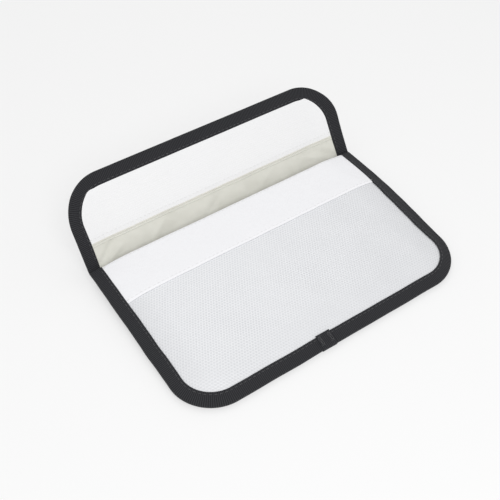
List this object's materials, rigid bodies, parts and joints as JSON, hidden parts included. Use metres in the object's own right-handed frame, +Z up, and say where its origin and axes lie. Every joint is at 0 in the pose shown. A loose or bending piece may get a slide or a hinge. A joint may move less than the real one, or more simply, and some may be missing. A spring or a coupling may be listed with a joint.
{
  "type": "lipo safe bag",
  "caption": "Flat fire-resistant envelope for batteries, with a bound edge, an open mouth and a fold-over flap that closes with hook-and-loop strips.",
  "frame": {"origin": "on the plane that the pouch lies on, under the middle of the closed part of the pouch", "axes": "+X across the width, +Y from the bound bottom edge towards the mouth and flap, +Z up"},
  "size_m": [0.231, 0.183, 0.0572],
  "materials": {
    "silver_cloth": "silver-grey coated glass-fibre cloth with a fine embossed grain and a low sheen",
    "cream_lining": "plain-woven cream glass-fibre cloth, matte",
    "white_loop": "white brushed loop tape, soft and matte",
    "white_hook": "white hook tape with fine rows of hooks, matte",
    "black_tape": "black ribbed grosgrain binding tape, matte",
    "black_thread": "black polyester sewing thread",
    "white_thread": "white polyester sewing thread",
    "cream_thread": "cream sewing thread"
  },
  "bodies": {
    "pouch": {"back_cloth": "silver_cloth", "back_lining": "cream_lining", "front_cloth": "silver_cloth", "front_lining": "cream_lining", "loop_strip": "white_loop", "pouch_binding": "black_tape", "binding_lap": "black_tape", "lap_bartack": "black_thread", "pouch_binding_thread": "black_thread", "loop_strip_thread": "white_thread", "fold_cloth": "silver_cloth", "fold_lining": "cream_lining", "fold_binding": "black_tape"},
    "flap": {"flap_cloth": "silver_cloth", "flap_lining": "cream_lining", "lining_hem": "cream_lining", "hook_strip": "white_hook", "flap_binding": "black_tape", "flap_binding_thread": "black_thread", "hook_strip_thread": "white_thread", "hem_thread": "cream_thread"}
  },
  "joints": [
    {"name": "flap_fold", "type": "hinge", "parent": "pouch", "child": "flap", "pos_m": [0, 0.07, 0.0095], "axis": [1, 0, 0], "range_deg": [-54, 126], "deforming": ["fold_cloth", "fold_lining", "fold_binding"]}
  ]
}
